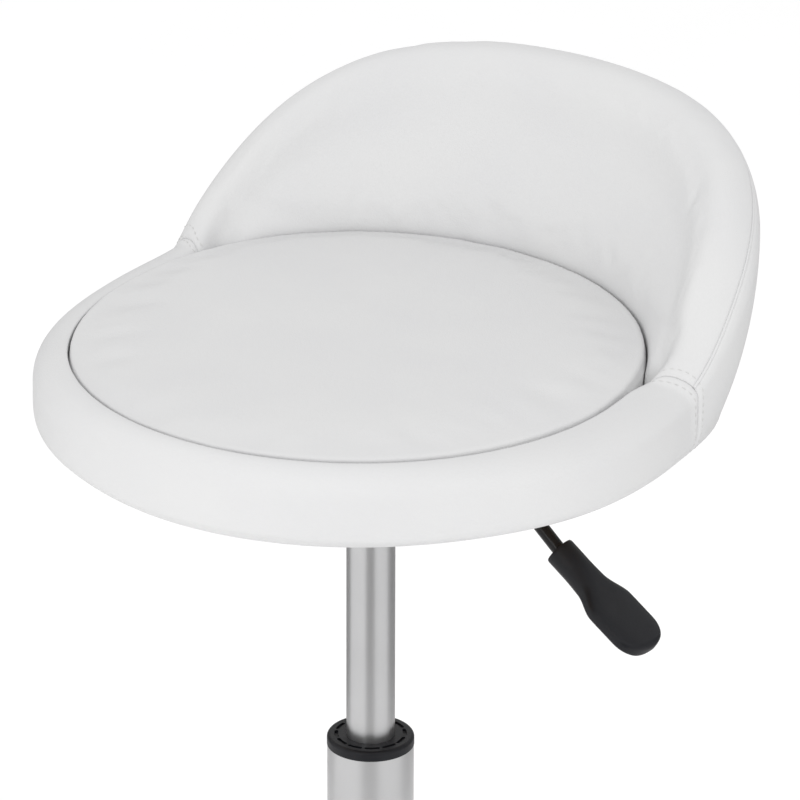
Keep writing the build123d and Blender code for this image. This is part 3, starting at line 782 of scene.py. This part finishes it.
def pad_outline(angle):
    """Half outline of the pad at an angle: underside, side, rounded edge and shallow crown."""
    gap = PAD_GAP + uneven(angle, RIGHT_WIDE_GAP) + uneven(angle, LEFT_CLOSED_GAP)
    radius = WELL_RADIUS - gap + uneven(angle, LEFT_INSET)
    base = PAD_BASE
    foot = PAD_FOOT_RADIUS
    top = RIM_HEIGHT + PAD_CROWN
    edge_top = RIM_HEIGHT + PAD_EDGE_RISE + uneven(angle, LEFT_LOW_PAD)
    edge_top += uneven(angle, FRONT_HIGH_PAD) + uneven(angle, BACK_LOW_PAD)
    edge = PAD_EDGE_RADIUS + uneven(angle, RIGHT_ROUND_PAD) + uneven(angle, LEFT_TIGHT_PAD)
    side_top = edge_top - edge
    inner = radius - edge
    n = 20
    return np.vstack([
        bezier((0, base), (radius * 0.3, base), (radius * 0.6, base), (radius - foot, base), n),
        bezier((radius - foot, base), (radius - 0.4 * foot, base),
               (radius, base + 0.4 * foot), (radius, base + foot), 6),
        bezier((radius, base + foot), (radius, base + 8), (radius, side_top - 6), (radius, side_top), n),
        bezier((radius, side_top), (radius, side_top + edge * ARC),
               (radius - edge * (1 - ARC), edge_top - 0.7), (inner, edge_top), n),
        bezier((inner, edge_top), (radius - 35, edge_top + 5.0), (radius * 0.45, top), (0, top), 2 * n),
        [[0, top]],
    ])


def build_pad(puff):
    """The round seat pad, closed, with its crown puffed by the simulation."""
    underside, edge, crown = (0.01, 0.40, 24), (0.405, 0.56, 40), (0.57, 0.99, 60)
    shares = np.concatenate([np.linspace(*stretch) for stretch in (underside, edge, crown)])
    rows = len(shares)
    grid = []
    for k in range(PAD_COLUMNS):
        angle = 360 * k / PAD_COLUMNS
        column = to_space(angle, resample(pad_outline(angle), shares) - [0, RIM_HEIGHT])
        grid.append([point + puff.at(point) for point in column])
    grid = np.array(grid)
    low = [0, SEAT_CENTRE_Y * MM, grid[:, 0, 2].mean()]
    top = [grid[:, -1, 0].mean(), grid[:, -1, 1].mean(), grid[:, -1, 2].mean() + 0.02 * MM]
    vertices = list(grid.reshape(-1, 3)) + [low, top]
    faces = grid_faces(PAD_COLUMNS, rows)
    last = (PAD_COLUMNS - 1) * rows
    for j in range(rows - 1):
        faces.append((last + j, last + j + 1, j + 1, j))
    low_index = PAD_COLUMNS * rows
    for k in range(PAD_COLUMNS):
        following = (k + 1) % PAD_COLUMNS
        faces.append((low_index, k * rows, following * rows))
        faces.append((low_index + 1, following * rows + rows - 1, k * rows + rows - 1))
    return add_solid("seat_pad", vertices, faces, LEATHER)


def build_upholstery():
    """Seat pad, front rim, both panels of the back, the sewn ridge and the rows of top-stitching."""
    pad_puff, back_puff, rim_puff = Puff(PAD_SHARE), Puff(BACK_SHARE), Puff(RIM_SHARE)
    pad_puff.learn(*simulate_pad(PAD_CAP))
    back_puff.learn(*simulate_wall(-SEAM_ANGLE, SEAM_ANGLE, BACK_CAP))
    rim_puff.learn(*simulate_wall(SEAM_ANGLE, 360 - SEAM_ANGLE, RIM_CAP))

    back_angles = edge_dense(-SEAM_ANGLE, SEAM_ANGLE, BACK_COLUMNS, END_ANGLE, END_COLUMNS)
    rim_angles = edge_dense(SEAM_ANGLE, 360 - SEAM_ANGLE, RIM_COLUMNS, END_ANGLE, END_COLUMNS)
    inner_rows = edge_dense(0.0, 1.0, INNER_ROWS, END_SHARE, END_ROWS)
    outer_rows = edge_dense(0.0, 1.0, OUTER_ROWS, END_SHARE, END_ROWS)
    full_rows = np.linspace(0, 1, FULL_ROWS)[:-1]
    ends = ("first_angle", "last_angle")
    inner_grid = wall_grid(back_angles, inner_line, inner_rows)
    outer_grid = wall_grid(back_angles, outer_line, outer_rows)
    rim_grid = wall_grid(rim_angles, whole_line, full_rows)
    inner_grid = shaped_grid(inner_grid, (*ends, "last_row"), back_puff)
    outer_grid = shaped_grid(outer_grid, (*ends, "first_row"), back_puff)
    rim_grid = shaped_grid(rim_grid, ends, rim_puff)

    seat_pad = build_pad(pad_puff)
    back_inner = closed_strip("back_inner_panel", inner_grid)
    back_outer = closed_strip("back_outer_panel", outer_grid)
    rim_panel = solid_of_loops("front_rim_panel", rim_grid)
    ridge_normals = grid_normals(inner_grid)[:, -2]
    ridge_line = (inner_grid[:, -1] + outer_grid[:, 0]) / 2 + ridge_normals * RIDGE_LIFT
    ridge = add_ridge("back_seam_ridge", ridge_line, ridge_normals)
    pieces = [seat_pad, back_inner, back_outer, rim_panel, ridge]
    for hand, sign in (("right", 1), ("left", -1)):
        for place, side in (("back", 1), ("front", -1)):
            spots, ups = laid_on_covers(stitch_line(sign, side), (inner_grid, outer_grid, rim_grid))
            pieces.append(stitch_row(f"stitches_{hand}_{place}", spots, ups))

    for piece in pieces:
        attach(piece, "seat")
    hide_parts("seat_pad_cover", "seat_pad_foam")
    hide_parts("rim_cover", "rim_foam")
    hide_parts("back_inner_cover", "back_foam")
    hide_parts("back_outer_cover")


# ---------------------------------------------------------------- release lever, millimetres

LEVER_BEND = (96.6, 495.9)
LEVER_SLOPE = 40.0
HANDLE_SLOPE = 33.3
KNEE_LENGTH = 46.0
GRIP_LENGTH = 76.8
GRIP_DROP = 0.3
GRIP_LEAN = 1.0
GRIP_SIDES = 72
COLLAR_HALF_WIDTH = 9.0
COLLAR_HALF_DEPTH = 8.6
NECK_SPREAD = 3.0
SHOULDER_SPREAD = 5.5
PADDLE_THINNING = 3.6
COLLAR_CHAMFER = 0.3
# Stretches of the grip, as shares of its length from the collar.
CHAMFERED = (0.012, 0.0)
SPREADING = (0.16, 0.60)
SHOULDER = (0.34, 0.56)
THINNING = (0.14, 0.58)
TIP_START = 0.79
TIP_EDGE_START = 0.95


def tip_rounding(place, start, power):
    """Share of the full size that is left at a place in a rounded tip, from 1 to 0."""
    beyond = max(0.0, (place - start) / (1 - start))
    return math.sqrt(max(0.0, 1 - beyond ** power))


def grip_sizes(distance):
    """Half width, half depth and squareness of the grip at a distance from its collar."""
    d = distance / GRIP_LENGTH
    spread = passed(d, SPREADING)
    chamfer = COLLAR_CHAMFER * passed(d, CHAMFERED)
    width = COLLAR_HALF_WIDTH + NECK_SPREAD * spread + SHOULDER_SPREAD * passed(d, SHOULDER) - chamfer
    depth = COLLAR_HALF_DEPTH - PADDLE_THINNING * passed(d, THINNING) - chamfer
    tip = tip_rounding(d, TIP_START, 2.3)
    tip_depth = tip_rounding(d, TIP_EDGE_START, 2)
    return width * max(tip, 0.03), depth * max(tip_depth, 0.12), 2 + 1.6 * spread


def build_grip():
    """Moulded grip: a round collar that flattens into a paddle with a rounded end."""
    slope, turn = math.radians(LEVER_SLOPE), math.radians(HANDLE_SLOPE)
    knee_x = LEVER_BEND[0] + KNEE_LENGTH * math.cos(slope)
    knee_z = LEVER_BEND[1] - KNEE_LENGTH * math.sin(slope) - GRIP_DROP
    start = np.array([knee_x, 0, knee_z])
    along = np.array([math.cos(turn), 0, -math.sin(turn)])
    up = np.array([math.sin(turn), 0, math.cos(turn)])
    across = np.array([0.0, 1.0, 0.0])
    collar = [0.0, 0.35, 0.9, 1.8]
    body = np.linspace(3, 0.80 * GRIP_LENGTH, 50)
    tip = GRIP_LENGTH * (0.80 + 0.20 * np.sin(np.linspace(0.06, 1, 26) * math.pi / 2))
    stations = np.concatenate([collar, body, tip])
    vertices = []
    for distance in stations:
        width, depth, power = grip_sizes(distance)
        lean = GRIP_LEAN * float(smooth_step(distance / 40.0))
        for k in range(GRIP_SIDES):
            t = 2 * math.pi * k / GRIP_SIDES
            c, s = math.cos(t), math.sin(t)
            u = width * math.copysign(abs(c) ** (2 / power), c)
            v = depth * math.copysign(abs(s) ** (2 / power), s)
            vertices.append((start + along * distance + across * (u - lean) + up * v) * MM)
    grip = add_solid("lever_grip", vertices, capped_faces(len(stations), GRIP_SIDES), BLACK_PLASTIC)
    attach(grip, "lever")
    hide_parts("lever_handle")


# ---------------------------------------------------------------- studio, metres and degrees

AIM = (0.0, 0.0, 0.5)
LIGHTS = (
    # name, place, size, power in watts
    ("key_light", (1.0, -3.1, 1.4), (2.0, 1.6), 22),
    ("top_light", (0.3, 0.2, 2.8), (2.0, 2.0), 6),
    ("fill_light", (-2.6, -1.8, 1.3), (2.0, 1.6), 6),
    ("side_light", (2.5, -1.0, 2.4), (1.6, 1.6), 9),
)
CAMERA_AZIMUTH = 37
CAMERA_ELEVATION = 24
CAMERA_ROLL = 0.2
CAMERA_PLACE = (2.1833, -2.8703, 2.1276)
CAMERA_LENS = 315
SKY_STRENGTH = 0.86
FLOOR_REACH = 30.0
FLOOR_GLOW = 0.10
FLAG_DISTANCE = 0.62
FLAG_HEIGHT = 0.62
FLAG_COLUMNS = 17
FLAGS = ((35.0, 20.0), (162.0, 38.0), (-103.0, 32.0))  # azimuth and half spread


def add_area_light(name, place, size, power):
    light = bpy.data.lights.new(name, "AREA")
    light.shape = "RECTANGLE"
    light.size, light.size_y = size
    light.energy = power
    obj = bpy.data.objects.new(name, light)
    obj.location = place
    obj.rotation_euler = (Vector(AIM) - Vector(place)).to_track_quat("-Z", "Y").to_euler()
    bpy.context.scene.collection.objects.link(obj)
    return obj


def add_flag(name, azimuth, half_spread):
    """A grey curved card that only reflections see, for the shading of polished metal."""
    material, _, shader = new_material(name)
    shader.inputs["Base Color"].default_value = (0.38, 0.38, 0.38, 1)
    shader.inputs["Roughness"].default_value = 1.0
    vertices = []
    for height in (0.0, FLAG_HEIGHT):
        for turn in np.linspace(azimuth - half_spread, azimuth + half_spread, FLAG_COLUMNS):
            a = math.radians(turn)
            vertices.append((FLAG_DISTANCE * math.sin(a), -FLAG_DISTANCE * math.cos(a), height))
    card = add_mesh(name, vertices, grid_faces(2, FLAG_COLUMNS), material)
    card.visible_camera = False
    card.visible_diffuse = False
    card.visible_shadow = False
    card.visible_transmission = False
    return card


def build_floor():
    """A large pale floor that glows faintly, so it stays even and light."""
    material, tree, shader = new_material("pale_floor")
    grain = add_node(tree, "ShaderNodeTexNoise", Scale=3.0)
    tree.links.new(object_coordinates(tree), grain.inputs["Vector"])
    stops = [(0.3, (0.955, 0.955, 0.955)), (0.7, (0.97, 0.97, 0.97))]
    tree.links.new(colour_ramp(tree, grain.outputs["Fac"], stops), shader.inputs["Base Color"])
    shader.inputs["Roughness"].default_value = 0.9
    shader.inputs["Emission Color"].default_value = (1, 1, 1, 1)
    shader.inputs["Emission Strength"].default_value = FLOOR_GLOW
    r = FLOOR_REACH
    corners = [(-r, -r, 0), (r, -r, 0), (r, r, 0), (-r, r, 0)]
    return add_mesh("floor", corners, [(0, 1, 2, 3)], material, smooth=False)


def build_studio():
    floor = build_floor()
    world = bpy.data.worlds.new("studio")
    world.use_nodes = True
    sky = world.node_tree.nodes["Background"]
    sky.inputs["Color"].default_value = (1, 1, 1, 1)
    sky.inputs["Strength"].default_value = SKY_STRENGTH
    bpy.context.scene.world = world
    bpy.context.scene.view_settings.view_transform = "Standard"
    key, top, fill, side = (add_area_light(*light) for light in LIGHTS)
    flags = [add_flag(f"reflection_flag_{k}", turn, spread) for k, (turn, spread) in enumerate(FLAGS)]


def build_camera():
    azimuth, elevation, roll = (math.radians(a) for a in (CAMERA_AZIMUTH, CAMERA_ELEVATION, CAMERA_ROLL))
    level = math.cos(elevation)
    back = Vector((math.sin(azimuth) * level, -math.cos(azimuth) * level, math.sin(elevation)))
    right = Vector((math.cos(azimuth), math.sin(azimuth), 0))
    up = back.cross(right)
    right, up = right * math.cos(roll) + up * math.sin(roll), up * math.cos(roll) - right * math.sin(roll)
    data = bpy.data.cameras.new("camera")
    data.lens = CAMERA_LENS
    data.sensor_width = 36
    data.clip_end = 200
    camera = bpy.data.objects.new("camera", data)
    turn = Matrix((right, up, back)).transposed().to_4x4()
    camera.matrix_world = Matrix.Translation(CAMERA_PLACE) @ turn
    bpy.context.scene.collection.objects.link(camera)
    bpy.context.scene.camera = camera


# ---------------------------------------------------------------- the whole scene


build_upholstery()
build_grip()
dress_cad_nodes()
build_studio()
build_camera()
